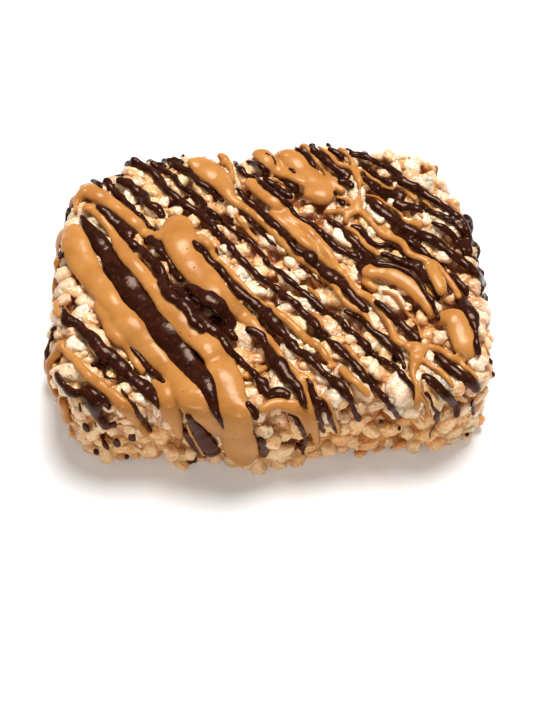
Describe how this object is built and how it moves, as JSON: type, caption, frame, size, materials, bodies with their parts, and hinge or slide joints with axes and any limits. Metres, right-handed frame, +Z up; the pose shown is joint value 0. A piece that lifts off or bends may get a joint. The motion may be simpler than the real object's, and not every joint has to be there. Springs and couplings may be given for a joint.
{
  "type": "rice crispy treat",
  "caption": "Block of sticky puffed rice grains with rounded edges, under a diagonal drizzle of dark chocolate and peanut butter.",
  "frame": {"origin": "middle of the flat base, on the surface the treat rests on", "axes": "+X along the length of the block, to the right as seen from its front; +Y from the front wall to the back wall; +Z up, out of the drizzled top"},
  "size_m": [0.1112, 0.0826, 0.0294],
  "materials": {
    "puffed_rice": "cream to golden puffed grains under a thin sticky glaze",
    "dark_chocolate": "set dark chocolate with a soft sheen",
    "peanut_butter": "smooth peanut butter icing, glossy"
  },
  "bodies": {
    "root": {"rice_treat": "puffed_rice"}
  },
  "joints": []
}
